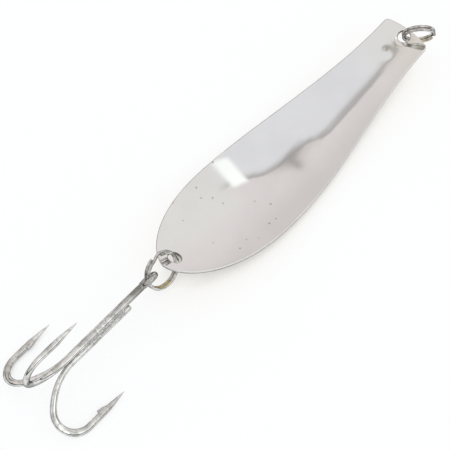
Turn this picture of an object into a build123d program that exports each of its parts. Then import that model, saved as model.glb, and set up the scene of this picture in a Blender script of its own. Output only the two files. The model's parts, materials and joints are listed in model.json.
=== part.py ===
from build123d import *
import math
import os

# Spoon lure: a dished metal blade with a split ring at each end and a brazed
# treble hook on the tail ring. It lies on its belly with the hollow side up.
# +X runs along the blade towards the line end, +Z is up, and XZ is the blade's
# plane of symmetry. The origin is under the middle of the whole length, on the
# surface that the lure lies on. Sizes are in millimetres and degrees.

# blade in plan, with stations measured from the tail tip
blade_length = 95.0
blade_half_width = 13.7
widest_station = 30.5
tail_fullness = 2.2
tail_bluntness = 0.6
nose_half_width = 7.0
nose_bulge = 1.4
nose_corner_radius = 1.4

# blade in side view and across
sheet = 1.0
belly_station = 39.5
tail_curve_radius = 82.0
nose_curve_radius = 113.0
nose_curve_run = 21.5
cross_radius = 32.0

# holes for the rings
tail_hole_diameter = 3.5
tail_hole_inset = 4.2
nose_hole_diameter = 3.4
nose_hole_inset = 2.4

# split rings: two turns of round wire that lie side by side
ring_wire = 0.8
ring_turns = 1.92
turn_gap = 0.04
tail_ring_radius = 4.8
tail_ring_lean = 66.0
tail_ring_play = 0.3
line_ring_radius = 4.15
line_ring_heading = 45.4
line_ring_tilt = 10.9
line_ring_roll = 24.7

# treble: every hook is bent to the same pattern round a common shank axis
hook_wire = 1.5
wire_offset = 0.92
shank_length = 27.0
throat_radius = 15.8
throat_turn = 48.0
bend_radius = 5.33
bend_turn = 132.8
point_length = 12.0
point_taper = 6.6
point_tip = 0.12
barb_height = 0.65
barb_length = 2.4
barb_width = 0.7
treble_pitch = 1.2
eye_inner_diameter = 2.8
eye_neck_radius = 1.2
third_hook_start = 7.8
braze_start = 9.0
braze_length = 11.0
braze_radius = 1.25

# one turn and its neighbour, centre to centre
turn_pitch = ring_wire + turn_gap


# outline of one hook beside the shank axis: along it, and out from it
wire_radius = hook_wire / 2
turn_1 = math.radians(throat_turn)
throat_out = wire_offset + throat_radius * (1 - math.cos(turn_1))
throat_along = shank_length + throat_radius * math.sin(turn_1)
bend_along = throat_along - bend_radius * math.sin(turn_1)
bend_out = throat_out + bend_radius * math.cos(turn_1)

# the two lower hooks lie on the surface, which sets the height of the eye
pitch = math.radians(treble_pitch)
side_fall = math.cos(math.radians(60)) * math.cos(pitch)
eye_z = wire_radius + bend_along * math.sin(pitch) + bend_out * side_fall
eye_z += bend_radius * math.hypot(math.sin(pitch), side_fall)

# the line ring: its axis, and the way from the nose hole to its centre
heading = math.radians(line_ring_heading)
tilt = math.radians(line_ring_tilt)
roll = math.radians(line_ring_roll)
level = Vector(math.sin(heading), -math.cos(heading), 0)
line_ring_axis = Vector(
    math.cos(tilt) * math.cos(heading), math.cos(tilt) * math.sin(heading), math.sin(tilt)
)
line_ring_side = level * math.cos(roll) + level.cross(line_ring_axis) * math.sin(roll)

# the whole length is centred on the origin
eye_inset = tail_hole_inset - 2 * (tail_ring_radius - tail_ring_play)
treble_reach = bend_along * math.cos(pitch) + bend_out * math.sin(pitch) + bend_radius + wire_radius
tail_overhang = treble_reach - eye_inset
line_ring_run = line_ring_radius * (line_ring_side.X + math.hypot(line_ring_axis.Y, line_ring_axis.Z))
nose_overhang = line_ring_run + ring_wire / 2 - nose_hole_inset
tail_x = tail_overhang - (tail_overhang + blade_length + nose_overhang) / 2
nose_x = tail_x + blade_length
belly_x = tail_x + belly_station
widest_x = tail_x + widest_station

# side profile of the hollow face: an arc to the tail, an arc and a ramp to the nose
ramp_slope = math.asin(nose_curve_run / nose_curve_radius)
ramp_x = belly_x + nose_curve_run
ramp_z = sheet + nose_curve_radius * (1 - math.cos(ramp_slope))
overrun = 4.0


def tail_profile(x):
    """Place and slope of the hollow face's centreline at x, on the tail side."""
    slope = math.asin((x - belly_x) / tail_curve_radius)
    return Vector(x, 0, sheet + tail_curve_radius * (1 - math.cos(slope))), slope


def nose_profile(x):
    """Place and slope of the hollow face's centreline at x, on the ramp."""
    return Vector(x, 0, ramp_z + (x - ramp_x) * math.tan(ramp_slope)), ramp_slope


def hole_centre(profile, x):
    """Middle of the sheet under the hollow face at x, and the direction square to it."""
    place, slope = profile(x)
    up = Vector(-math.sin(slope), 0, math.cos(slope))
    return place - up * sheet / 2, up


tail_hole, tail_up = hole_centre(tail_profile, tail_x + tail_hole_inset)
nose_hole, nose_up = hole_centre(nose_profile, nose_x - nose_hole_inset)


def half_width(x):
    """Half the blade's width at x: a blunt ellipse to the tail, a slow taper to the nose."""
    if x < widest_x:
        part = (widest_x - x) / widest_station
        return blade_half_width * (1 - part**tail_fullness) ** tail_bluntness
    part = (x - widest_x) / (nose_x - nose_bulge - widest_x)
    return nose_half_width + (blade_half_width - nose_half_width) * (1 + math.cos(math.pi * part)) / 2


tail_spacing = (84, 72, 58, 42, 22)
tail_stations = [widest_x - widest_station * math.sin(math.radians(a)) for a in tail_spacing]
nose_spans = 7
nose_span = (nose_x - nose_bulge - widest_x) / nose_spans
nose_stations = [widest_x + nose_span * k for k in range(nose_spans + 1)]
side = [(x, half_width(x)) for x in tail_stations + nose_stations]

# ---------------------------------------------------------------- blade
with BuildPart() as spoon_blade:
    with BuildLine(Plane.XZ) as profile:
        tail_end, _ = tail_profile(tail_x - overrun)
        nose_end, _ = nose_profile(nose_x + overrun)
        RadiusArc((tail_end.X, tail_end.Z), (belly_x, sheet), -tail_curve_radius)
        RadiusArc((belly_x, sheet), (ramp_x, ramp_z), -nose_curve_radius)
        Line((ramp_x, ramp_z), (nose_end.X, nose_end.Z))
    with BuildSketch(Plane(origin=profile.line @ 0, x_dir=(0, 1, 0), z_dir=profile.line % 0)):
        with Locations((0, cross_radius)):
            Circle(cross_radius + sheet)
            Circle(cross_radius, mode=Mode.SUBTRACT)
        Rectangle(3 * blade_half_width, cross_radius, mode=Mode.INTERSECT)
    sweep(path=profile.line)
    with BuildSketch():
        with BuildLine():
            Spline(*reversed(side), (tail_x, 0), *[(x, -y) for x, y in side])
            ThreePointArc((side[-1][0], -side[-1][1]), (nose_x, 0), side[-1])
        make_face()
    extrude(amount=cross_radius, mode=Mode.INTERSECT)
    corners = spoon_blade.edges().filter_by(GeomType.LINE).sort_by(Axis.X)[-2:]
    fillet(corners, radius=nose_corner_radius)
    for centre, up, diameter in (
        (tail_hole, tail_up, tail_hole_diameter),
        (nose_hole, nose_up, nose_hole_diameter),
    ):
        with BuildSketch(Plane(origin=centre, x_dir=(0, 1, 0), z_dir=up)):
            Circle(diameter / 2)
        extrude(amount=2 * sheet, both=True, mode=Mode.SUBTRACT)
spoon_blade.part.label = "spoon_blade"


def wind_ring(centre, side_way, axis, radius):
    """Wind a split ring about its axis, with the wire's ends at the given side."""
    rise = turn_pitch * ring_turns
    with BuildLine() as coil:
        Helix(pitch=turn_pitch, height=rise, radius=radius, center=(0, 0, -rise / 2))
    path = coil.line.moved(Plane(origin=centre, x_dir=side_way, z_dir=axis).location)
    with BuildSketch(Plane(origin=path @ 0, z_dir=path % 0)) as wire:
        Circle(ring_wire / 2)
    sweep(wire.sketch, path=path, is_frenet=True)


# ---------------------------------------------------------------- tail ring
# it joins the tail hole to the eye of the treble and leans on its side
eye = Vector(tail_x + eye_inset, 0, eye_z)
tail_ring_centre = (tail_hole + eye) / 2
tail_ring_line = (eye - tail_hole).normalized()
lean = math.radians(tail_ring_lean)
lifted = tail_ring_line.cross(Vector(0, -1, 0)).normalized()
tail_ring_up = Vector(0, math.cos(lean), 0) + lifted * math.sin(lean)
tail_ring_axis = tail_ring_line.cross(tail_ring_up)

with BuildPart() as tail_ring:
    wind_ring(tail_ring_centre, tail_ring_up, tail_ring_axis, tail_ring_radius)
tail_ring.part.label = "tail_ring"

# ---------------------------------------------------------------- line ring
line_ring_centre = nose_hole + line_ring_side * line_ring_radius

with BuildPart() as line_ring:
    wind_ring(line_ring_centre, line_ring_side, line_ring_axis, line_ring_radius)
line_ring.part.label = "line_ring"

# ---------------------------------------------------------------- treble
# three hooks at thirds of a turn about the shank axis, one of them straight up
shank_way = Vector(-math.cos(pitch), 0, -math.sin(pitch))
up_way = Vector(-math.sin(pitch), 0, math.cos(pitch))
third = math.radians(120)
top_way = up_way
left_way = up_way * math.cos(third) + Vector(0, math.sin(third), 0)
right_way = up_way * math.cos(third) - Vector(0, math.sin(third), 0)


def hook_plane(out_way):
    """Plane of one hook: x along the shank from the eye, y out towards the point."""
    return Plane(origin=eye, x_dir=shank_way, z_dir=shank_way.cross(out_way))


def bend_hook(out_way, start):
    """Centreline of one hook from its start on the shank to the root of its point."""
    with BuildLine(hook_plane(out_way)) as bent:
        shank = Line((start, wire_offset), (shank_length, wire_offset))
        throat = JernArc(shank @ 1, shank % 1, throat_radius, throat_turn)
        bend = JernArc(throat @ 1, throat % 1, bend_radius, bend_turn)
        PolarLine(bend @ 1, point_length - point_taper, direction=bend % 1)
    return bent.line


def sharpen(out_way, line_end, line_way):
    """Add the tapered point and the barb inside it to the end of a hook's wire."""
    with BuildSketch(Plane(origin=line_end, z_dir=line_way)) as root:
        Circle(wire_radius)
    with BuildSketch(Plane(origin=line_end + line_way * point_taper, z_dir=line_way)) as tip:
        Circle(point_tip)
    loft(sections=[root.sketch, tip.sketch])
    across = shank_way.cross(out_way)
    with BuildSketch(Plane(origin=line_end, x_dir=line_way, z_dir=across)) as barb:
        Polygon(
            (0, wire_radius / 2),
            (-barb_height, wire_radius + barb_height),
            (barb_length, wire_radius / 2),
            align=None,
        )
    extrude(barb.sketch, amount=barb_width / 2, both=True)


# the two wires of the double hook run side by side up to its eye
wire_gap = wire_offset * math.sin(third)
eye_radius = (eye_inner_diameter + hook_wire) / 2
neck_out = wire_gap + eye_neck_radius
neck_along = math.sqrt((eye_radius + eye_neck_radius) ** 2 - neck_out**2)
neck_angle = math.degrees(math.atan2(neck_out, neck_along))
eye_plane = Plane(
    origin=eye - right_way * wire_offset / 2,
    x_dir=shank_way,
    z_dir=shank_way.cross(left_way - top_way),
)

with BuildPart() as double_hook:
    left_bend = bend_hook(left_way, neck_along)
    top_bend = bend_hook(top_way, neck_along)
    with BuildLine(eye_plane) as eye_loop:
        left_neck = JernArc((neck_along, wire_gap), (-1, 0), eye_neck_radius, neck_angle - 90)
        loop = JernArc(left_neck @ 1, left_neck % 1, eye_radius, 360 - 2 * neck_angle)
        JernArc(loop @ 1, loop % 1, eye_neck_radius, neck_angle - 90)
    double_path = Wire(left_bend.edges() + eye_loop.line.edges() + top_bend.edges())
    with BuildSketch(Plane(origin=double_path @ 0, z_dir=double_path % 0)) as double_wire:
        Circle(wire_radius)
    sweep(double_wire.sketch, path=double_path)
    sharpen(left_way, left_bend @ 1, left_bend % 1)
    sharpen(top_way, top_bend @ 1, top_bend % 1)
double_hook.part.label = "double_hook"

with BuildPart() as third_hook:
    right_bend = bend_hook(right_way, third_hook_start)
    with BuildSketch(Plane(origin=right_bend @ 0, z_dir=right_bend % 0)) as third_wire:
        Circle(wire_radius)
    sweep(third_wire.sketch, path=right_bend)
    sharpen(right_way, right_bend @ 1, right_bend % 1)
third_hook.part.label = "third_hook"

# the braze fills the grooves between the three shanks
with BuildPart() as braze_seam:
    with BuildSketch(Plane(origin=eye + shank_way * braze_start, x_dir=top_way, z_dir=shank_way)):
        Circle(braze_radius)
        with PolarLocations(wire_offset, 3):
            Circle(wire_radius, mode=Mode.SUBTRACT)
    extrude(amount=braze_length)
braze_seam.part.label = "braze_seam"

os.makedirs("parts", exist_ok=True)
export_step(spoon_blade.part, "parts/spoon_blade.step")
export_step(line_ring.part, "parts/line_ring.step")
export_step(tail_ring.part, "parts/tail_ring.step")
export_step(double_hook.part, "parts/double_hook.step")
export_step(third_hook.part, "parts/third_hook.step")
export_step(braze_seam.part, "parts/braze_seam.step")
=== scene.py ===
import json
import math

import bpy
import numpy as np
from mathutils import Matrix, Vector
from mathutils.geometry import delaunay_2d_cdt


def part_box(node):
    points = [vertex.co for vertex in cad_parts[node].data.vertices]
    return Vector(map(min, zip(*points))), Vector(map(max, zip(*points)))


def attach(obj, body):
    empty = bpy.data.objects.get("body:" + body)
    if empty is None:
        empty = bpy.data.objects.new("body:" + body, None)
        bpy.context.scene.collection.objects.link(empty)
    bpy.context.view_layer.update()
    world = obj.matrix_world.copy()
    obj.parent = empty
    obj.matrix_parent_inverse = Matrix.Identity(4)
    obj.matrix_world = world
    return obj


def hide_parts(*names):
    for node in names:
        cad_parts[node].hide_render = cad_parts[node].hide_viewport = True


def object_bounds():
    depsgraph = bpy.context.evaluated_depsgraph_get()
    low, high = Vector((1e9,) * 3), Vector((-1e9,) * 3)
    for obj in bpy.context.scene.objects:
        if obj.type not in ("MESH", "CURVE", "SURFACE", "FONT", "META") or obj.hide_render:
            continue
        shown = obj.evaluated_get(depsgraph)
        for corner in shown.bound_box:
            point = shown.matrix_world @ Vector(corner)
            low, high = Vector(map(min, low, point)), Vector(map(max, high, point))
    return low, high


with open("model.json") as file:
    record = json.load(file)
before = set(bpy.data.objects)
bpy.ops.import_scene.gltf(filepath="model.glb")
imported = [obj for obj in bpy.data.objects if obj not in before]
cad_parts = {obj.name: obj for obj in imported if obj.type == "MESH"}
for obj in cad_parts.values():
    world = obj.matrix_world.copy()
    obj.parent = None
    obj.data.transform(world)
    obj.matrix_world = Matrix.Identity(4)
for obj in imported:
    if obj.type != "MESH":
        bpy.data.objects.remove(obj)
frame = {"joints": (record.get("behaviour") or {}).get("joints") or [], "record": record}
cad_box = [list(corner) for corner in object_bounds()]

# Shapes are worked out in millimetres in the frame's own axes, and meshes are made in metres.
MM = 0.001
joints = {joint["name"]: joint for joint in frame["joints"]}


def joint_axis(name):
    return Vector(joints[name]["axis"]).normalized()


def joint_place(name):
    return Vector(joints[name]["pos_m"]) / MM


# ---------------------------------------------------------------- shader expressions
class Signal:
    """A shader socket that takes part in Python expressions, each adding its Math node."""

    def __init__(self, graph, socket):
        self.graph = graph
        self.socket = socket

    def math(self, operation, first, second=0.0):
        return self.graph.node("ShaderNodeMath", {"operation": operation}, {0: first, 1: second})

    def __add__(self, other):
        return self.math("ADD", self, other)

    def __radd__(self, other):
        return self.math("ADD", other, self)

    def __sub__(self, other):
        return self.math("SUBTRACT", self, other)

    def __rsub__(self, other):
        return self.math("SUBTRACT", other, self)

    def __mul__(self, other):
        return self.math("MULTIPLY", self, other)

    def __rmul__(self, other):
        return self.math("MULTIPLY", other, self)

    def __truediv__(self, other):
        return self.math("DIVIDE", self, other)

    def __pow__(self, other):
        return self.math("POWER", self, other)

    def __abs__(self):
        return self.math("ABSOLUTE", self)

    def ramp(self, low, high):
        """0 below low, 1 above high, and a smooth rise between them."""
        return self.graph.node(
            "ShaderNodeMapRange",
            {"interpolation_type": "SMOOTHSTEP"},
            {"Value": self, "From Min": low, "From Max": high, "To Min": 0.0, "To Max": 1.0},
        )


class Graph:
    """Adds nodes to a material's or a world's tree."""

    def __init__(self, owner):
        owner.use_nodes = True
        self.tree = owner.node_tree
        self.tree.nodes.clear()

    def node(self, kind, settings=None, inputs=None, out=0):
        """A node with its settings, then its sockets' values or links. out picks what it gives."""
        made = self.tree.nodes.new(kind)
        for key, value in (settings or {}).items():
            setattr(made, key, value)
        for key, value in (inputs or {}).items():
            if isinstance(value, Signal):
                self.tree.links.new(value.socket, made.inputs[key])
            else:
                made.inputs[key].default_value = value
        return Signal(self, made.outputs[out]) if made.outputs else None

    def mix(self, low, high, amount):
        """A colour between two colours."""
        inputs = {"Factor": amount, 6: paint(low), 7: paint(high)}
        return self.node("ShaderNodeMix", {"data_type": "RGBA"}, inputs, out=2)

    def place(self, stretch=(1, 1, 1)):
        """The place on the object in millimetres, stretched to draw out a pattern."""
        inputs = {0: self.node("ShaderNodeTexCoord", out="Object"), 1: Vector(stretch) / MM}
        return self.node("ShaderNodeVectorMath", {"operation": "MULTIPLY"}, inputs)

    def noise(self, size, detail=2.0, rough=0.5, stretch=(1, 1, 1)):
        """Soft noise with features of the given size in millimetres."""
        return self.node(
            "ShaderNodeTexNoise",
            None,
            {"Vector": self.place(stretch), "Scale": 1 / size, "Detail": detail, "Roughness": rough},
        )

    def cells(self, size):
        """Distance from scattered points, in cells of the given size in millimetres."""
        return self.node(
            "ShaderNodeTexVoronoi",
            {"feature": "F1"},
            {"Vector": self.place(), "Scale": 1 / size, "Randomness": 1.0},
        )

    def part(self, vector, number):
        """One of a vector's three numbers."""
        return self.node("ShaderNodeSeparateXYZ", None, {0: vector}, out=number)

    def axis(self, number):
        """The place along one of the object's own axes, in millimetres."""
        return self.part(self.node("ShaderNodeTexCoord", out="Object"), number) / MM

    def bell(self, value, middle, width):
        """1 where value is middle, falling away over width on both sides."""
        off = (value - middle) / width
        return self.node("ShaderNodeMath", {"operation": "EXPONENT"}, {0: 0 - off * off})

    def bump(self, height, depth, under=None):
        """A normal raised by height, where 1 stands for depth millimetres."""
        inputs = {"Height": height, "Distance": depth * MM, "Strength": 1.0}
        if under is not None:
            inputs["Normal"] = under
        return self.node("ShaderNodeBump", None, inputs)

    def finish(self, colour, roughness, normal, metallic=1.0, all_over=None):
        """The material's shader. all_over holds the sockets that are the same everywhere."""
        inputs = {"Base Color": colour, "Metallic": metallic, "Roughness": roughness, "Normal": normal}
        self.surface(self.node("ShaderNodeBsdfPrincipled", None, {**inputs, **(all_over or {})}))

    def surface(self, shader):
        self.node("ShaderNodeOutputMaterial", None, {"Surface": shader})

    def background(self, shader):
        self.node("ShaderNodeOutputWorld", None, {"Surface": shader})


def paint(colour):
    """A colour with its fourth number, or a signal as it is."""
    if isinstance(colour, Signal) or len(colour) == 4:
        return colour
    return (*colour, 1.0)


def reach(along, across):
    """Distance in plan."""
    return (along * along + across * across) ** 0.5


def new_material(name):
    material = bpy.data.materials.new(name)
    return material, Graph(material)


# ---------------------------------------------------------------- finishes
nose_hole_radius = 1.7
nose_hole_x = joint_place("front_ring_swing").x
pitted_x = joint_place("rear_ring_swing").x + 19
# where the painted shade on the hook wire is darkest
eye_shade_x = joint_place("treble_swing").x - 3.5

# an edge tint that darkens the wires towards their outlines, as painted shade
dark_outline_tint = {"Specular Tint": (0.15, 0.15, 0.15, 1)}


def polished_nickel():
    """Mirror-bright plate on the hollow face, with a soft haze, fine scratches and a few pits."""
    material, g = new_material("polished_nickel")
    along, across = g.axis(0), g.axis(1)
    haze = g.noise(14, detail=3.0, rough=0.6)
    scratch = g.noise(0.5, detail=3.0, rough=0.7, stretch=(0.05, 1.0, 1.0))
    # pits of uneven outline, only where the plate is worn, towards the tail
    pit_cells = g.cells(2.6) + g.noise(0.5, rough=0.6) * 0.16
    worn = g.noise(7, detail=1.0).ramp(0.40, 0.52) * g.bell(along, pitted_x, 17.0)
    pit = (1 - pit_cells.ramp(0.11, 0.24)) * worn.ramp(0.25, 0.5)

    fresh_plate, hazed_plate = (0.90, 0.895, 0.885), (0.86, 0.855, 0.845)
    warm_plate, pit_floor = (0.885, 0.87, 0.82), (0.50, 0.48, 0.47)
    plate = g.mix(fresh_plate, hazed_plate, haze.ramp(0.35, 0.7))
    warmed = g.mix(plate, warm_plate, along.ramp(nose_hole_x - 16, nose_hole_x - 2))
    colour = g.mix(warmed, pit_floor, pit)

    # the plate's own waviness, the drawn-in edge of the nose hole, and a dent and a dimple by it
    wave = g.noise(11, detail=1.0, rough=0.4)
    punched = g.bell(reach(along - nose_hole_x, across), nose_hole_radius - 0.3, 1.1)
    dent = g.bell(reach(along - (nose_hole_x - 6.4), across - 0.9), 0.0, 1.4)
    dimple = g.bell(reach(along - nose_hole_x + 0.4, across - 4.0), 0.0, 1.9)
    waved = g.bump(wave * 0.06 - punched * 0.30 + dent * 0.14 - dimple * 0.10, 1.0)
    roughness = 0.035 + haze * 0.03 + scratch * 0.03 + pit * 0.4
    g.finish(colour, roughness, g.bump(scratch * 0.25 - pit, 0.012, under=waved))
    return material


def cut_edge_and_shade():
    """The dull cut edge of the sheet, dark enough that it also serves as painted shade along the rims and
    in the holes.
    """
    material, g = new_material("cut_edge_and_shade")
    film = g.noise(1.8, detail=3.0, rough=0.6)
    burr = g.noise(0.4, rough=0.6)
    sheared_and_shaded, oxidised = (0.42, 0.40, 0.38), (0.26, 0.25, 0.24)
    colour = g.mix(sheared_and_shaded, oxidised, film.ramp(0.4, 0.65))
    g.finish(colour, 0.28 + film * 0.15, g.bump(burr, 0.015))
    return material


def yellow_lacquer():
    """Glossy lacquer on the round side, a little uneven, over the plate."""
    material, g = new_material("yellow_lacquer")
    cloud = g.noise(10, detail=3.0, rough=0.55)
    fleck = g.noise(0.8, rough=0.6)
    thin_coat, thick_coat = (0.86, 0.66, 0.05), (0.78, 0.55, 0.03)
    colour = g.mix(thin_coat, thick_coat, cloud.ramp(0.3, 0.7))
    gloss = {"Coat Weight": 0.6, "Coat Roughness": 0.08}
    g.finish(colour, 0.22 + cloud * 0.08, g.bump(fleck, 0.01), metallic=0.0, all_over=gloss)
    return material


def nickelled_wire():
    """Bright nickelled spring wire with a fine grain and a dull film in places."""
    material, g = new_material("nickelled_wire")
    film = g.noise(2.2, detail=3.0, rough=0.6)
    grain = g.noise(0.25, rough=0.6)
    nickel, filmed = (0.80, 0.785, 0.76), (0.44, 0.41, 0.37)
    colour = g.mix(nickel, filmed, film.ramp(0.42, 0.68))
    g.finish(colour, 0.06 + film * 0.08, g.bump(grain, 0.004), all_over=dark_outline_tint)
    return material


def tinned_wire():
    """Tinned hook wire, mottled and pitted, with grey clouds and a painted shade near the eye."""
    material, g = new_material("tinned_wire")
    mottle = g.noise(1.6, detail=4.0, rough=0.6)
    grain = g.noise(0.32, detail=3.0, rough=0.7)
    pit = grain.ramp(0.56, 0.70) * mottle.ramp(0.42, 0.62)
    cloud = g.noise(5.0, detail=1.0).ramp(0.46, 0.62)
    # painted shade: the wire is darker in a band round the eye
    eye_shade = g.bell(g.axis(0), eye_shade_x, 5.0)

    bright_tin, grey_tin = (0.98, 0.97, 0.94), (0.66, 0.65, 0.61)
    tarnish_and_shade, pit_floor = (0.30, 0.29, 0.26), (0.08, 0.075, 0.065)
    tin = g.mix(bright_tin, grey_tin, mottle.ramp(0.42, 0.70))
    dulled_and_shaded = g.mix(tin, tarnish_and_shade, cloud * 0.35 + eye_shade * 0.75)
    colour = g.mix(dulled_and_shaded, pit_floor, pit * 0.85)
    roughness = 0.05 + mottle * 0.08 + pit * 0.2
    g.finish(colour, roughness, g.bump(mottle + grain * 0.5, 0.012), all_over=dark_outline_tint)
    return material


def rough_braze():
    """Lumpy braze metal that has run between the shanks."""
    material, g = new_material("rough_braze")
    lump = g.noise(0.9, detail=3.0, rough=0.6)
    speck = g.noise(0.3, rough=0.7).ramp(0.55, 0.7)
    clean, scaled, burnt = (0.80, 0.79, 0.76), (0.56, 0.55, 0.52), (0.2, 0.19, 0.18)
    colour = g.mix(g.mix(clean, scaled, lump.ramp(0.4, 0.7)), burnt, speck)
    g.finish(colour, 0.22 + lump * 0.3, g.bump(lump + speck * 0.4, 0.07))
    return material


# ---------------------------------------------------------------- meshes
def new_piece(name, points, faces, materials, smooth=True):
    """A mesh object from points in millimetres."""
    mesh = bpy.data.meshes.new(name)
    mesh.from_pydata([tuple(c * MM for c in p) for p in points], [], faces)
    mesh.validate()
    mesh.polygons.foreach_set("use_smooth", [smooth] * len(mesh.polygons))
    for material in materials:
        mesh.materials.append(material)
    piece = bpy.data.objects.new(name, mesh)
    bpy.context.scene.collection.objects.link(piece)
    return piece


def dress(piece, node, body):
    """The piece rides on the body and stands for the solid, which is hidden."""
    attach(piece, body)
    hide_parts(node)


def join_loops(first, second, flip=False):
    """Quads between two closed loops of vertex numbers."""
    count = len(first)
    quads = []
    for k in range(count):
        quad = (first[k], first[(k + 1) % count], second[(k + 1) % count], second[k])
        quads.append(quad[::-1] if flip else quad)
    return quads


def tube_faces(points, count, tips):
    """Faces of a tube of rings of count points. Its tips are added and a fan closes it to each."""
    rings = [[row * count + i for i in range(count)] for row in range(len(points) // count)]
    faces = []
    for first, second in zip(rings, rings[1:]):
        faces += join_loops(first, second)
    for ring, tip, at_end in ((rings[0], tips[0], False), (rings[-1], tips[1], True)):
        points.append(tuple(tip))
        fan = [(ring[i], ring[(i + 1) % count], len(points) - 1) for i in range(count)]
        faces += fan if at_end else [face[::-1] for face in fan]
    return faces


# ---------------------------------------------------------------- blade
blade_low, blade_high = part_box("spoon_blade")
tail_x = blade_low.x / MM
nose_x = blade_high.x / MM
blade_half_width = blade_high.y / MM

# the solid's own sizes, with the stations measured from the tail
sheet = 1.0
widest_station = 30.5
belly_station = 39.5
tail_fullness = 2.2
tail_bluntness = 0.6
nose_half_width = 7.0
nose_bulge = 1.4
nose_corner_radius = 1.4
tail_curve_radius = 82.0
nose_curve_radius = 113.0
nose_curve_run = 21.5
cross_radius = 32.0
tail_hole_radius = 1.75

widest_x = tail_x + widest_station
belly_x = tail_x + belly_station
corner_x = nose_x - nose_bulge
ramp_slope = math.asin(nose_curve_run / nose_curve_radius)

# points along the outline and round a hole, and how the points on the faces are spread
nose_steps, corner_steps, side_steps, tail_steps = 14, 12, 90, 80
hole_steps = 48
skin_spacing = 0.75
clear_of_rim = 0.6
clear_of_hole = 1.25
same_place = 1e-7

# the numbers of the blade's finishes; the dark finish of the cut walls is also painted shade along the
# rims and in the holes
hollow_side, round_side, sheared_and_shaded = 0, 1, 2

# rounding of the edges as (set back, depth under the hollow face), and the finish of each strip
rim_profile = [(0.34, 0), (0.20, 0.02), (0.09, 0.09), (0.02, 0.22), (0, 0.4), (0, 0.66)]
rim_profile += [(0.03, 0.82), (0.11, 0.93), (0.22, 0.98), (0.34, sheet)]
rim_finish = [hollow_side] * 4 + [sheared_and_shaded] * 3 + [round_side] * 2
# this strip is dark along the far side only: a painted shade line on the far edge
far_edge_shade_strip = 1
lip_profile = [(0.24, 0), (0.14, 0.02), (0.06, 0.08), (0.01, 0.2), (0, 0.4), (0, 0.7)]
lip_profile += [(0.05, 0.88), (0.2, sheet)]
lip_finish = [hollow_side] + [sheared_and_shaded] * 5 + [round_side]


def half_width(x):
    """Half of the blade's width at a place along it."""
    if x < widest_x:
        part = min(1.0, (widest_x - x) / widest_station)
        return blade_half_width * (1 - part**tail_fullness) ** tail_bluntness
    part = min(1.0, (x - widest_x) / (corner_x - widest_x))
    return nose_half_width + (blade_half_width - nose_half_width) * (1 + math.cos(math.pi * part)) / 2


def sheet_height(x, y, depth):
    """Height of the sheet at a place in plan, depth under its hollow face."""
    dish = cross_radius - math.sqrt((cross_radius + depth) ** 2 - y * y)
    along = x - belly_x
    if along < 0:
        radius = tail_curve_radius - dish
        return sheet + tail_curve_radius - math.sqrt(radius**2 - along**2)
    radius = nose_curve_radius - dish
    if along < radius * math.sin(ramp_slope):
        return sheet + nose_curve_radius - math.sqrt(radius**2 - along**2)
    start = nose_curve_radius * math.sin(ramp_slope)
    rise = sheet + nose_curve_radius * (1 - math.cos(ramp_slope))
    return rise + (along - start) * math.tan(ramp_slope) + dish / math.cos(ramp_slope)


def sheet_normal(x, y, depth):
    """The way up that is square to the sheet at a place in plan."""
    step = 0.01
    slope_x = (sheet_height(x + step, y, depth) - sheet_height(x - step, y, depth)) / (2 * step)
    slope_y = (sheet_height(x, y + step, depth) - sheet_height(x, y - step, depth)) / (2 * step)
    return Vector((-slope_x, -slope_y, 1)).normalized()


def blade_outline():
    """The blade's edge in plan, once round from the middle of the nose."""
    end_radius = (nose_half_width**2 + nose_bulge**2) / (2 * nose_bulge)
    end_x = nose_x - end_radius
    corner_y = nose_half_width - nose_corner_radius
    corner_turn = math.asin(corner_y / (end_radius - nose_corner_radius))
    corner_at = end_x + (end_radius - nose_corner_radius) * math.cos(corner_turn)
    half = []
    for a in np.linspace(0, corner_turn, nose_steps)[:-1]:
        half.append((end_x + end_radius * math.cos(a), end_radius * math.sin(a)))
    for a in np.linspace(corner_turn, math.pi / 2, corner_steps)[:-1]:
        x = corner_at + nose_corner_radius * math.cos(a)
        half.append((x, corner_y + nose_corner_radius * math.sin(a)))
    for x in np.linspace(corner_at, widest_x, side_steps)[:-1]:
        half.append((x, half_width(x)))
    for a in np.linspace(0, math.pi / 2, tail_steps):
        x = widest_x - widest_station * math.sin(a)
        half.append((x, half_width(x)))
    return np.array(half + [(x, -y) for x, y in half[-2:0:-1]])


def inward(loop):
    """Unit vectors in plan that point from a closed loop, run anticlockwise, to its inside."""
    run = np.roll(loop, -1, axis=0) - np.roll(loop, 1, axis=0)
    across = np.stack([-run[:, 1], run[:, 0]], axis=1)
    return across / np.linalg.norm(across, axis=1)[:, None]


def hole_loop(centre, up, radius, depth):
    """A ring of places in plan where a round hole of that radius meets the sheet at depth."""
    shift = centre + up * (sheet / 2 - depth)
    turn = np.linspace(0, 2 * math.pi, hole_steps, endpoint=False)
    return np.stack([shift.x + radius * np.cos(turn) * up.z, shift.y + radius * np.sin(turn)], axis=1)


def inside(loop, spots):
    """Which spots lie inside a closed loop in plan."""
    odd = np.zeros(len(spots), bool)
    for (x0, y0), (x1, y1) in zip(loop, np.roll(loop, -1, axis=0)):
        if y0 != y1:
            spans = (y0 > spots[:, 1]) != (y1 > spots[:, 1])
            cross = (x1 - x0) * (spots[:, 1] - y0) / (y1 - y0) + x0
            odd ^= spans & (spots[:, 0] < cross)
    return odd


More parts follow.
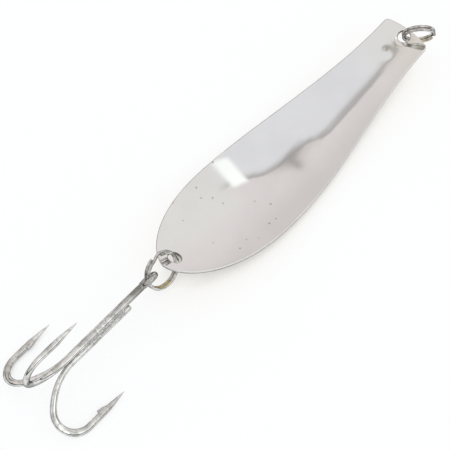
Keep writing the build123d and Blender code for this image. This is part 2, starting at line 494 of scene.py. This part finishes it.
def skin_triangles(borders, fill, facing_down):
    """Triangles between an outline and the holes in it, numbered through borders and then fill."""
    flat = np.concatenate([*borders, fill])
    edges = []
    start = 0
    for plan in borders:
        count = len(plan)
        edges += [(start + k, start + (k + 1) % count) for k in range(count)]
        start += count
    cut = delaunay_2d_cdt([Vector(p) for p in flat], edges, [], 0, same_place)
    origin = [sources[0] for sources in cut[3]]
    corners = np.array([[origin[v] for v in face] for face in cut[2]])
    middles = flat[corners].mean(axis=1)
    wanted = inside(borders[0], middles)
    for plan in borders[1:]:
        wanted &= ~inside(plan, middles)
    triangles = []
    for tri in corners[wanted]:
        a, b, c = flat[tri]
        clockwise = (b[0] - a[0]) * (c[1] - a[1]) - (b[1] - a[1]) * (c[0] - a[0]) < 0
        triangles.append(tri[::-1] if clockwise != facing_down else tri)
    return triangles


def make_blade(bright, lacquer, edge):
    """The sheet: rounded walls at its rim and round both holes, and a fine skin on each side."""
    points, normals, faces, finish = [], [], [], []

    def add_loop(plan, depth, exact):
        start = len(points)
        facing = 1 if depth < sheet / 2 else -1
        for x, y in plan:
            points.append((x, y, sheet_height(x, y, depth)))
            normals.append(facing * sheet_normal(x, y, depth) if exact else Vector())
        return list(range(start, len(points)))

    def add_wall(plans, profile, finishes, flip, burr=None):
        """Strips between loops. The strip numbered burr takes the dark finish of the cut walls along the
        far side only, where y is above 0, as a painted shade line.
        """
        last = len(plans) - 1
        loops = [add_loop(plan, profile[k][1], k in (0, last)) for k, plan in enumerate(plans)]
        for k, (first, second, number) in enumerate(zip(loops, loops[1:], finishes)):
            quads = join_loops(first, second, flip)
            faces.extend(quads)
            finish.extend([sheared_and_shaded if k == burr and points[q[0]][1] > 0 else number for q in quads])
        return (plans[0], loops[0]), (plans[last], loops[last])

    outline = blade_outline()
    to_inside = inward(outline)
    rim = [outline + to_inside * back for back, _ in rim_profile]
    walls = [add_wall(rim, rim_profile, rim_finish, True, far_edge_shade_strip)]
    for joint, radius in (("rear_ring_swing", tail_hole_radius), ("front_ring_swing", nose_hole_radius)):
        centre = joint_place(joint)
        up = sheet_normal(centre.x, centre.y, sheet / 2)
        lip = [hole_loop(centre, up, radius + back, depth) for back, depth in lip_profile]
        walls.append(add_wall(lip, lip_profile, lip_finish, False))

    xs = np.arange(tail_x, nose_x, skin_spacing)
    ys = np.arange(-blade_half_width, blade_half_width, skin_spacing)
    grid = np.array([(x, y) for i, x in enumerate(xs) for y in ys + skin_spacing / 2 * (i % 2)])
    for side, depth in ((hollow_side, 0.0), (round_side, sheet)):
        borders = [wall[side][0] for wall in walls]
        keep = inside(borders[0] + inward(borders[0]) * skin_spacing * clear_of_rim, grid)
        for plan in borders[1:]:
            middle = plan.mean(axis=0)
            keep &= ~inside(middle + (plan - middle) * clear_of_hole, grid)
        fill = grid[keep]
        fill_numbers = add_loop(fill, depth, True)
        numbers = [n for wall in walls for n in wall[side][1]] + fill_numbers
        for tri in skin_triangles(borders, fill, side == round_side):
            faces.append(tuple(numbers[v] for v in tri))
            finish.append(side)

    piece = new_piece("blade", points, faces, [bright, lacquer, edge])
    piece.data.polygons.foreach_set("material_index", finish)
    piece.data.normals_split_custom_set_from_vertices(normals)
    return piece


# ---------------------------------------------------------------- wire
wire_sides = 20


def sweep_wire(path, sides, across, half_in, half_out, domes, squareness=1.0):
    """Points and faces of a wire: half_in reaches along sides, half_out along across, domed ends."""
    turn = np.linspace(0, 2 * math.pi, wire_sides, endpoint=False)
    cos, sin = np.cos(turn), np.sin(turn)
    cos, sin = np.sign(cos) * abs(cos) ** squareness, np.sign(sin) * abs(sin) ** squareness
    points = []
    for centre, side, over, a, b in zip(path, sides, across, half_in, half_out):
        points += [tuple(centre + side * a * c + over * b * s) for c, s in zip(cos, sin)]
    tips = []
    for end, neighbour, dome in ((path[0], path[1], domes[0]), (path[-1], path[-2], domes[1])):
        tips.append(end + (end - neighbour) / np.linalg.norm(end - neighbour) * dome)
    return points, tube_faces(points, wire_sides, tips)


def turn_about(vector, axis, angle):
    return np.array(Matrix.Rotation(angle, 3, Vector(axis)) @ Vector(vector))


# split rings, with places round the ring in degrees
ring_wire = 0.8
turn_gap = 0.04
ring_ends = (14, 706)
ring_steps = 360
crossing_place = 360
crossing_half = 16
end_rounding = 1.2
end_size = 0.86
ring_squareness = 0.88
ring_domes = (0.02, 0.02)
tail_ring_radius = 4.8
line_ring_radius = 4.04
line_ring_turned = 35


def make_ring(name, centre, axis, end_way, radius, material, turned_on=0.0):
    """A split ring: two flat turns of wire side by side, with one step between them."""
    end_way = turn_about(end_way, axis, turned_on)
    turned = np.radians(np.linspace(*ring_ends, ring_steps))
    past_middle = turned - np.radians(crossing_place)
    step = np.clip(past_middle / np.radians(crossing_half) / 2 + 0.5, 0, 1)
    shift = (ring_wire + turn_gap) * (step * step * (3 - 2 * step) - 0.5)
    axis = np.array(axis)
    third_way = np.cross(axis, end_way)
    sides = np.cos(turned)[:, None] * end_way + np.sin(turned)[:, None] * third_way
    path = np.array(centre) + sides * radius + shift[:, None] * axis
    from_end = np.minimum(turned - turned[0], turned[-1] - turned)
    end_fade = np.minimum(1, from_end / np.radians(end_rounding))
    half = ring_wire / 2 * (end_size + (1 - end_size) * np.sqrt(end_fade))
    across = np.repeat(axis[None], len(path), axis=0)
    points, faces = sweep_wire(path, sides, across, half, half, ring_domes, ring_squareness)
    return new_piece(name, points, faces, [material])


# ---------------------------------------------------------------- treble
hook_wire = 1.5
wire_offset = 0.92
shank_length = 27.0
throat_radius = 15.8
throat_turn = math.radians(48.0)
bend_radius = 5.33
bend_turn = math.radians(132.8)
point_length = 12.0
barb_back = 6.6
barb_root = barb_back + 1.1
barb_height = 0.66
barb_length = 2.5
barb_fall = 0.5
barb_slant = 0.55
eye_radius = 2.15
eye_neck_radius = 1.2
third_hook_start = 7.8
treble_pitch = math.radians(1.2)

eye = joint_place("treble_swing")
shank_way = Vector((-math.cos(treble_pitch), 0, -math.sin(treble_pitch)))
up_way = Vector((-math.sin(treble_pitch), 0, math.cos(treble_pitch)))
level_way = Vector((0, 1, 0))
third = math.radians(120)
top_way = up_way
left_way = up_way * math.cos(third) + level_way * math.sin(third)
right_way = up_way * math.cos(third) - level_way * math.sin(third)

# how finely the hook wire is followed, with closer steps over its last stretch
hook_step = 0.2
tip_stretch = 1.2
tip_steps = 14
curve_steps = 6000
neck_steps = 12
eye_steps = 64
pair_domes = (0.03, 0.03)
single_domes = (0.05, 0.03)


def hook_outline(start):
    """Along, out and heading of a hook's centreline, the run from its start, and the whole run."""
    runs = [(shank_length - start, 0.0), (throat_radius * throat_turn, 1 / throat_radius)]
    runs += [(bend_radius * bend_turn, 1 / bend_radius), (point_length, 0.0)]
    total = sum(length for length, _ in runs)
    last_steps = np.linspace(total - tip_stretch, total, tip_steps)
    travelled = np.concatenate([np.arange(0, total - tip_stretch, hook_step), last_steps])
    fine = np.linspace(0, total, curve_steps)
    bend = np.zeros_like(fine)
    passed = 0.0
    for length, curve in runs:
        bend[(fine >= passed) & (fine < passed + length)] = curve
        passed += length
    step = fine[1] - fine[0]
    heading = np.concatenate([[0], np.cumsum(bend[:-1]) * step])
    along = start + np.concatenate([[0], np.cumsum(np.cos(heading[:-1])) * step])
    out = wire_offset + np.concatenate([[0], np.cumsum(np.sin(heading[:-1])) * step])
    picked = [np.interp(travelled, fine, line) for line in (along, out, heading)]
    return (*picked, travelled, total)


def bell(value, middle, width):
    return np.exp(-(((value - middle) / width) ** 2))


def hook_wire_run(out_way, start):
    """Centres, ways to the inside of the bend, half sizes in and across, and the run left to the tip."""
    along, out, heading, travelled, total = hook_outline(start)
    down, away = np.array(shank_way), np.array(out_way)
    centre = np.array(eye) + along[:, None] * down + out[:, None] * away
    inner = -np.sin(heading)[:, None] * down + np.cos(heading)[:, None] * away
    left = total - travelled
    wire = hook_wire / 2
    # forged deeper and narrower in the bend, and a little thinner just past the shank
    forged = bell(travelled, total - point_length - bend_radius * bend_turn / 2, 7.0)
    waist = bell(travelled, shank_length - start + 3.5, 4.0)
    half_in = wire * (1 + 0.24 * forged - 0.08 * waist)
    half_out = wire * (1 - 0.14 * forged - 0.04 * waist)
    # a small swell behind the barb, then a long taper to a tip that isn't quite sharp
    on_point = left < barb_back
    taper = np.clip(left / barb_back, 0, 1) ** 0.78
    swell = 0.05 * bell(left, barb_back - 0.6, 1.4)
    tip = 0.02
    half_in = np.where(on_point, (wire * 1.08) * taper, half_in + swell) + tip
    half_out = np.where(on_point, (wire * 0.98) * taper, half_out) + tip
    # where the wire is deeper its middle moves in, so that its outer side stays in place
    centre = centre + inner * (half_in - wire + 0.012).clip(0)[:, None]
    return centre, inner, half_in, half_out, left


def raise_barb(points, left, inner, to_tip):
    """Lift the wire's inner side into a barb that points back from the hook's point."""
    raised = []
    on_rings = wire_sides * len(left)
    for k, point in enumerate(points[:on_rings]):
        ring, spoke = divmod(k, wire_sides)
        face = max(0.0, math.cos(2 * math.pi * spoke / wire_sides)) ** 3
        back = left[ring] - (barb_root - barb_length)
        lift = barb_height * back / barb_length if 0 < back <= barb_length else 0.0
        fall = back - barb_length
        if 0 < fall < barb_fall:
            lift = barb_height * (1 - fall / barb_fall)
        slant = -barb_slant * lift / barb_height
        raised.append(tuple(np.array(point) + face * (lift * inner[ring] + slant * to_tip[ring])))
    return raised + list(points[on_rings:])


def tangents(path):
    run = np.gradient(path, axis=0)
    return run / np.linalg.norm(run, axis=1)[:, None]


def eye_run():
    """The eye's wire from the left shank, round the loop, to the top shank."""
    over = np.array((left_way - top_way).normalized())
    down = np.array(shank_way)
    origin = np.array(eye) - np.array(right_way) * wire_offset / 2
    neck_out = wire_offset * math.sin(third) + eye_neck_radius
    neck_along = math.sqrt((eye_radius + eye_neck_radius) ** 2 - neck_out**2)
    neck_angle = math.atan2(neck_out, neck_along)
    path, inner = [], []
    for a in np.linspace(-math.pi / 2, -math.pi / 2 - (math.pi / 2 - neck_angle), neck_steps)[:-1]:
        path.append((neck_along + eye_neck_radius * math.cos(a), neck_out + eye_neck_radius * math.sin(a)))
        inner.append((math.cos(a), math.sin(a)))
    for a in np.linspace(neck_angle, 2 * math.pi - neck_angle, eye_steps):
        path.append((eye_radius * math.cos(a), eye_radius * math.sin(a)))
        inner.append((-math.cos(a), -math.sin(a)))

    def spread(flat):
        """The flat line, with its first stretch mirrored at its end, in the eye's own plane."""
        flat = np.array(flat + [(x, -y) for x, y in flat[: neck_steps - 1]][::-1])
        return flat[:, :1] * down + flat[:, 1:] * over

    return origin + spread(path), spread(inner), neck_along


def blend_sides(inner, along, neck_along, eye_side, out_way):
    """Turn the section slowly along the round shank from the eye's plane to the hook's."""
    down, away = np.array(shank_way), np.array(out_way)
    turn = math.atan2(np.dot(np.cross(eye_side, away), down), np.dot(eye_side, away))
    sides = inner.copy()
    for k, run in enumerate(along):
        if run < shank_length:
            part = (run - neck_along) / (shank_length - neck_along)
            sides[k] = turn_about(eye_side, down, turn * part)
    return sides


def make_double_hook(material):
    """Two hooks and the eye between them, from one wire."""
    loop, loop_inner, neck_along = eye_run()
    hooks = []
    for out_way, eye_side in ((left_way, loop_inner[0]), (top_way, loop_inner[-1])):
        centre, inner, half_in, half_out, left = hook_wire_run(out_way, neck_along)
        along = (centre - np.array(eye)) @ np.array(shank_way)
        straight = np.arange(len(along)) < np.searchsorted(along[: len(along) // 2], shank_length)
        on_shank = np.where(straight, along, shank_length)
        sides = blend_sides(inner, on_shank, neck_along, eye_side, out_way)
        hooks.append([line[1:] for line in (centre, sides, half_in, half_out, left)])
    wire = np.full(len(loop), hook_wire / 2)
    far_from_tip = np.full(len(loop), 99.0)
    between = (loop, loop_inner, wire, wire, far_from_tip)
    lines = [np.concatenate([a[::-1], b, c]) for a, b, c in zip(hooks[0], between, hooks[1])]
    path, sides, half_in, half_out, left = lines
    ways = tangents(path)
    across = np.cross(ways, sides)
    points, faces = sweep_wire(path, sides, across, half_in, half_out, pair_domes)
    on_first = np.arange(len(path)) < len(hooks[0][0])
    points = raise_barb(points, left, sides, ways * np.where(on_first, -1.0, 1.0)[:, None])
    return new_piece("hook_pair", points, faces, [material])


def make_third_hook(material):
    """The single hook, whose upper end is cut off square and a little worn."""
    centre, inner, half_in, half_out, left = hook_wire_run(right_way, third_hook_start)
    travelled = np.linalg.norm(centre - centre[0], axis=1)
    worn = 0.72 + 0.28 * np.sqrt(np.clip(travelled / 0.5, 0, 1))
    ways = tangents(centre)
    across = np.cross(ways, inner)
    points, faces = sweep_wire(centre, inner, across, half_in * worn, half_out * worn, single_domes)
    points = raise_barb(points, left, inner, ways)
    return new_piece("single_hook", points, faces, [material])


# the braze, measured along the shanks from its upper end, which is braze_start below the eye
braze_start = 8.7
braze_length = 16.6
braze_fade = 1.6
braze_steps = 70
braze_sides = 60
groove_fill = 1.36
end_fill = 0.2
thin_from = 10.0
thin_over = 3.0
thinning = 0.34


def shank_reach(angle):
    """How far the three shanks reach from the treble's middle at an angle round it."""
    furthest = 0.0
    for place in (0, third, 2 * third):
        off = angle - place
        root = (hook_wire / 2) ** 2 - (wire_offset * math.sin(off)) ** 2
        if root > 0 and math.cos(off) > 0:
            furthest = max(furthest, wire_offset * math.cos(off) + math.sqrt(root))
    return furthest


def unevenness(lumps, run, angle):
    """A sum of waves along and round the braze."""
    return sum(
        height * math.sin(2.1 * run * (1 + 0.35 * k) + 3 * phase + (k % 4) * angle)
        for k, (height, phase, _) in enumerate(lumps)
    )


def make_braze(material):
    """A lumpy skin that fills the grooves between the three shanks."""
    lumps = np.random.default_rng(4).uniform(-1, 1, (9, 3))
    turns = np.linspace(0, 2 * math.pi, braze_sides, endpoint=False)
    runs = np.linspace(0, braze_length, braze_steps)
    middle, down, up = (np.array(way) for way in (eye, shank_way, top_way))
    level = np.cross(down, up)
    points = []
    for run in runs:
        fade = math.sqrt(max(min(1.0, run / braze_fade, (braze_length - run) / braze_fade), 0.0))
        thinned = thinning * min(1.0, max(0.0, (run - thin_from) / thin_over))
        for angle in turns:
            wave = unevenness(lumps, run, angle)
            fill = (groove_fill - thinned + 0.035 * wave) * fade + end_fill * (1 - fade)
            over_wire = (0.035 + 0.018 * wave) * fade - 0.05 * (1 - fade) - 0.3 * thinned
            radius = max(fill, shank_reach(angle) + over_wire)
            way = math.cos(angle) * up + math.sin(angle) * level
            points.append(tuple(middle + down * (braze_start + run) + way * radius))
    tips = [middle + down * (braze_start + run) for run in (runs[0], runs[-1])]
    return new_piece("braze", points, tube_faces(points, braze_sides, tips), [material])


# ---------------------------------------------------------------- stage
camera_azimuth = math.radians(-47.37)
camera_height = math.radians(63.0)
camera_side = Vector(
    (
        math.sin(camera_azimuth) * math.cos(camera_height),
        -math.cos(camera_azimuth) * math.cos(camera_height),
        math.sin(camera_height),
    )
)
camera_distance = 0.380
lens_length = 119.03
sensor_width = 36.0
aimed_at = Vector((belly_x - 17.01, 0.10, 0)) * MM
table_half = 2000.0


def add_camera():
    camera = bpy.data.cameras.new("camera")
    camera.lens = lens_length
    camera.sensor_width = sensor_width
    camera.clip_start = 0.01
    holder = bpy.data.objects.new("camera", camera)
    holder.location = aimed_at + camera_side * camera_distance
    holder.rotation_euler = (aimed_at - holder.location).to_track_quat("-Z", "Y").to_euler()
    bpy.context.scene.collection.objects.link(holder)
    bpy.context.scene.camera = holder


def make_world():
    """A pale studio: cool on one side, warm on the other, dim low down and towards the lens."""
    world = bpy.data.worlds.new("studio")
    bpy.context.scene.world = world
    g = Graph(world)
    way = g.node("ShaderNodeTexCoord", out="Generated")
    x, y, z = (g.part(way, number) for number in range(3))
    cool_card, cool_shade = (0.79, 0.795, 0.82), (0.44, 0.42, 0.41)
    warm_wall, warm_deep = (0.77, 0.73, 0.73), (0.69, 0.655, 0.64)
    seam_shadow, tail_wall = (0.40, 0.38, 0.37), (0.80, 0.79, 0.775)
    lamp_white, room_floor = (1.12, 1.15, 1.14), (0.05, 0.05, 0.05)
    lens_grey, sky, white = (0.18, 0.18, 0.18), (0.97, 0.985, 1.0), (1, 1, 1)

    # the seam where the cool card meets the warm wall is crinkled, and bends down to one end
    crinkle = g.node("ShaderNodeTexNoise", None, {"Vector": way, "Scale": 9.0, "Detail": 2.0})
    seam = 0.46 - 0.17 * x.ramp(0.08, 0.22) - 0.31 * x.ramp(0.28, 0.54) + (crinkle - 0.5) * 0.16
    beside = y - seam
    on_cool = 1 - beside.ramp(-0.010, 0.010)
    cool = g.mix(cool_card, cool_shade, beside.ramp(-0.24, 0.0) ** 2.5)
    warm = g.mix(warm_wall, warm_deep, y.ramp(0.45, 0.8))
    knot = g.bell(x, 0.255, 0.07) * g.bell(beside, 0.015, 0.07)
    spur = g.bell(x, 0.272, 0.018) * g.bell(y, 0.42, 0.09)
    walls = g.mix(g.mix(warm, cool, on_cool), seam_shadow, knot * 0.85 + spur * 0.8)
    tail_side = x.ramp(0.47, 0.62) * (1 - y.ramp(0.05, 0.55))
    walls = g.mix(walls, tail_wall, tail_side)

    # a slanted window, given by its middle and its two sides, and a strip of lamps on the near side
    aside = x - 0.484
    abreast = y + 0.159
    along = abs(aside * 2.02 + abreast * 2.17)
    over = abs(abreast * 0.28 - aside * 10.6)
    window = (1 - along.ramp(0.40, 0.58)) * (1 - over.ramp(0.30, 0.60))
    lamp_strip = 1 - y.ramp(-0.68, -0.54)
    walls = g.mix(walls, lamp_white, window + lamp_strip)

    # the room's dark floor, which reaches higher up on the side of the lens
    far_corner = (x + y).ramp(0.15, 0.6)
    above_floor = z.ramp(0.04, 0.20) * far_corner + z.ramp(0.18, 0.45) * (1 - far_corner)
    room = g.mix(room_floor, walls, above_floor)
    to_lens = g.node("ShaderNodeVectorMath", {"operation": "DOT_PRODUCT"}, {0: way, 1: camera_side}, out=1)
    room = g.mix(room, lens_grey, to_lens.ramp(0.955, 0.995) * 0.6)

    room = g.mix(room, sky, g.node("ShaderNodeLightPath", out="Is Diffuse Ray"))
    room = g.mix(room, white, g.node("ShaderNodeLightPath", out="Is Camera Ray"))
    g.background(g.node("ShaderNodeBackground", None, {"Color": room, "Strength": 1.0}))


def make_floor(height):
    """A white table whose glow is darkened under and beside the object as a painted shadow; its lit part
    also takes the real shadow.
    """
    material, g = new_material("white_table")
    table, painted_shadow_grey, white = (0.90, 0.915, 0.935), (0.12, 0.12, 0.13), (1, 1, 1)
    lit = g.node("ShaderNodeBsdfDiffuse", None, {"Color": paint(table)})
    # an occlusion mask darkens the table's glow near the object: a painted shadow
    open_sky = g.node("ShaderNodeAmbientOcclusion", {"samples": 8}, {"Distance": 0.02}, out=1)
    painted_shadow_glow = g.mix(painted_shadow_grey, white, open_sky.ramp(0.04, 0.60))
    glow = g.node("ShaderNodeEmission", None, {"Color": painted_shadow_glow, "Strength": 1.06})
    seen = g.node("ShaderNodeLightPath", out="Is Camera Ray")
    mirrored = g.node("ShaderNodeLightPath", out="Is Glossy Ray")
    g.surface(g.node("ShaderNodeMixShader", None, {0: seen * 0.74 + mirrored * 0.2, 1: lit, 2: glow}))
    square = ((-1, -1), (1, -1), (1, 1), (-1, 1))
    corners = [(a * table_half, b * table_half, height) for a, b in square]
    floor = new_piece("table_top", corners, [(0, 1, 2, 3)], [material], smooth=False)


add_camera()
make_world()
make_floor(cad_box[0][2] / MM)

# ---------------------------------------------------------------- the lure
bright, lacquer = polished_nickel(), yellow_lacquer()
nickelled, tinned = nickelled_wire(), tinned_wire()

dress(make_blade(bright, lacquer, cut_edge_and_shade()), "spoon_blade", "blade")

tail_hole, nose_hole = joint_place("rear_ring_swing"), joint_place("front_ring_swing")
tail_axis, nose_axis = joint_axis("rear_ring_swing"), joint_axis("front_ring_swing")
tail_up = joint_axis("treble_swing")
tail_middle = (tail_hole + eye) / 2
tail_ring = make_ring("tail_split_ring", tail_middle, tail_axis, tail_up, tail_ring_radius, nickelled)
dress(tail_ring, "tail_ring", "rear_ring")

line_tie = Vector(frame["record"]["mounts"][0]["axis"])
line_middle = nose_hole + line_tie * line_ring_radius
line_turn = math.radians(line_ring_turned)
line_ring = make_ring(
    "line_split_ring", line_middle, nose_axis, line_tie, line_ring_radius, nickelled, line_turn
)
dress(line_ring, "line_ring", "front_ring")

dress(make_double_hook(tinned), "double_hook", "treble")
dress(make_third_hook(tinned), "third_hook", "treble")
dress(make_braze(rough_braze()), "braze_seam", "treble")

bpy.context.scene.view_settings.view_transform = "Standard"
